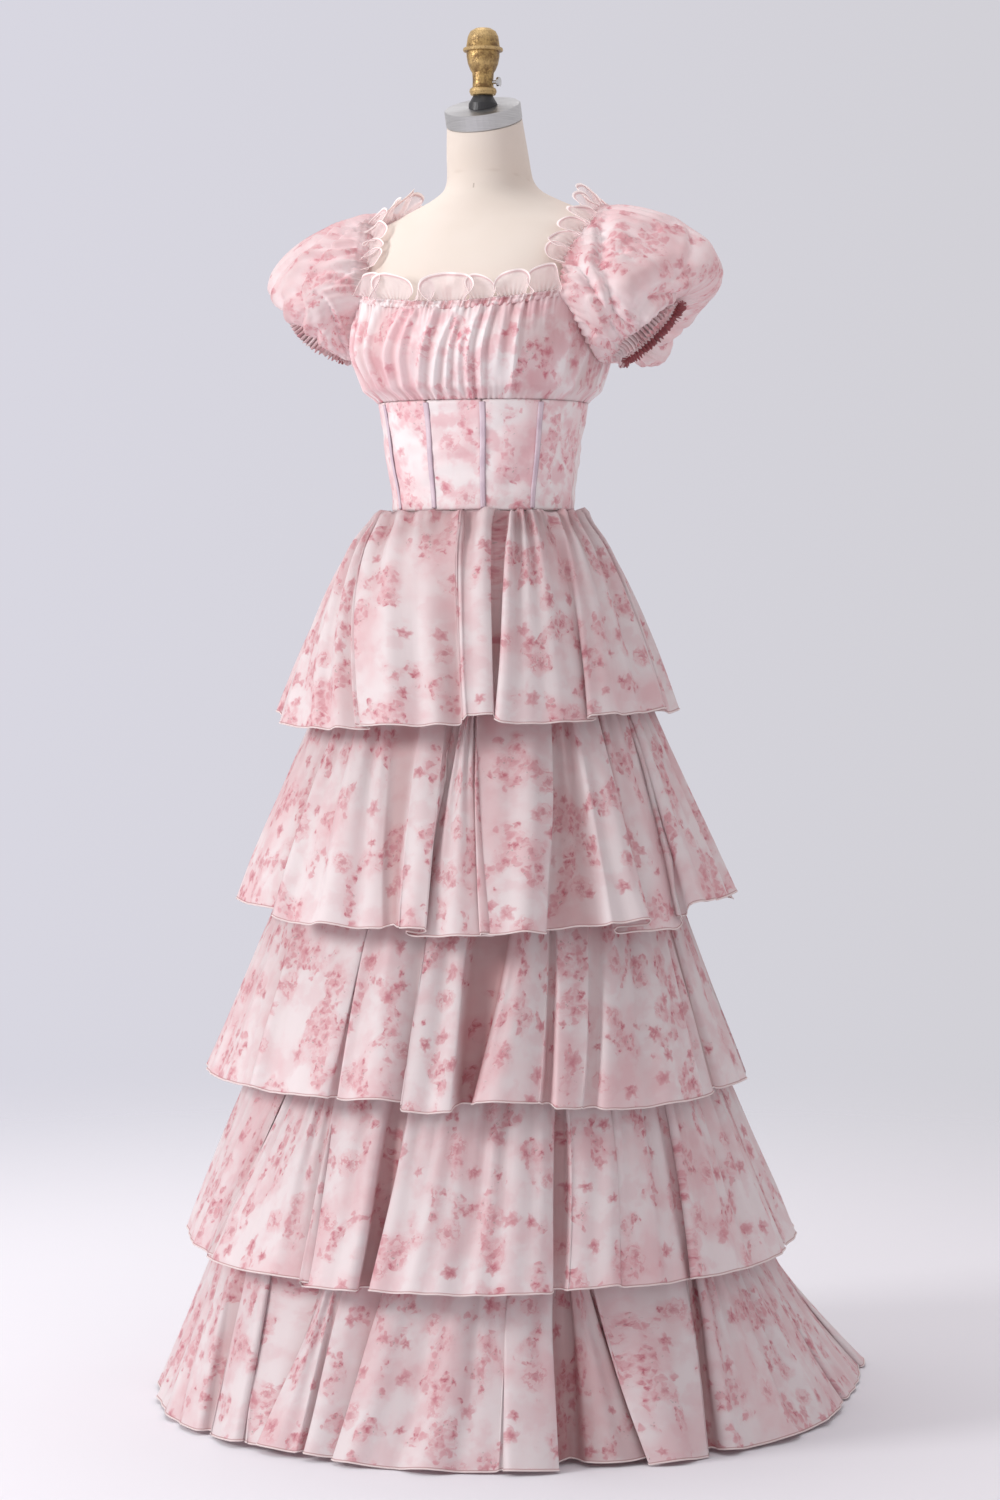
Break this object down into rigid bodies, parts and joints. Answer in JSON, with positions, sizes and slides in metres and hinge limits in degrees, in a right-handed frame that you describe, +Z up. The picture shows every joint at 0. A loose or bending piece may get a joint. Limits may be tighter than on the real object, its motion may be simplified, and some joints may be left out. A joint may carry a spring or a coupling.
{
  "type": "floor-length prom dress on a dress form",
  "caption": "Floor-length prom dress with puff sleeves, corset waist and tiered ruffle skirt, on a limbless dress form with a stand.",
  "frame": {"origin": "centre of the stand's base, on its underside, on the floor", "axes": "+Z up along the pole, -Y is the way the dress faces, +X is the wearer's left"},
  "size_m": [0.8689, 0.8551, 1.7155],
  "materials": {
    "printed_organza": "crisp printed organza over satin, soft sheen",
    "skirt_lining": "plain blush lining, matte",
    "boning_tape": "lavender-grey satin tape",
    "form_linen": "cream linen cover, matte",
    "neck_cap_steel": "brushed",
    "finial_bronze": "mottled, waxed",
    "screw_steel": "polished",
    "stand_enamel": "black, satin",
    "zip_nylon": "blush woven tape",
    "zip_metal": "blush, gloss"
  },
  "bodies": {
    "dressed_form": {"back_left": "printed_organza", "back_right": "printed_organza", "base": "stand_enamel", "bone_1": "boning_tape", "bone_2": "boning_tape", "bone_3": "boning_tape", "bone_4": "boning_tape", "bust_front": "printed_organza", "corset_back_left": "printed_organza", "corset_back_right": "printed_organza", "corset_centre": "printed_organza", "corset_front_left": "printed_organza", "corset_front_right": "printed_organza", "corset_side_left": "printed_organza", "corset_side_right": "printed_organza", "cuff_left": "printed_organza", "cuff_right": "printed_organza", "dress_form": "form_linen", "finial": "finial_bronze", "neck_cap": "neck_cap_steel", "pole": "stand_enamel", "ruffle_back": "printed_organza", "ruffle_front": "printed_organza", "ruffle_left": "printed_organza", "ruffle_right": "printed_organza", "sleeve_left": "printed_organza", "sleeve_right": "printed_organza", "tier_1": "printed_organza", "tier_2": "printed_organza", "tier_3": "printed_organza", "tier_4": "printed_organza", "tier_5": "printed_organza", "underskirt": "skirt_lining", "washer": "stand_enamel", "zip_slider": "zip_metal", "zip_tape": "zip_nylon"},
    "thumbscrew": {"thumbscrew": "screw_steel"},
    "zip_pull": {"zip_pull": "zip_metal"}
  },
  "joints": [
    {"name": "thumbscrew_turn", "type": "hinge", "parent": "dressed_form", "child": "thumbscrew", "pos_m": [0.0045, 0, 1.647], "axis": [1, 0, 0], "continuous": true},
    {"name": "zip_pull_swing", "type": "hinge", "parent": "dressed_form", "child": "zip_pull", "pos_m": [0, 0.12025, 1.38234], "axis": [1, 0, 0], "range_deg": [0, 110]}
  ]
}
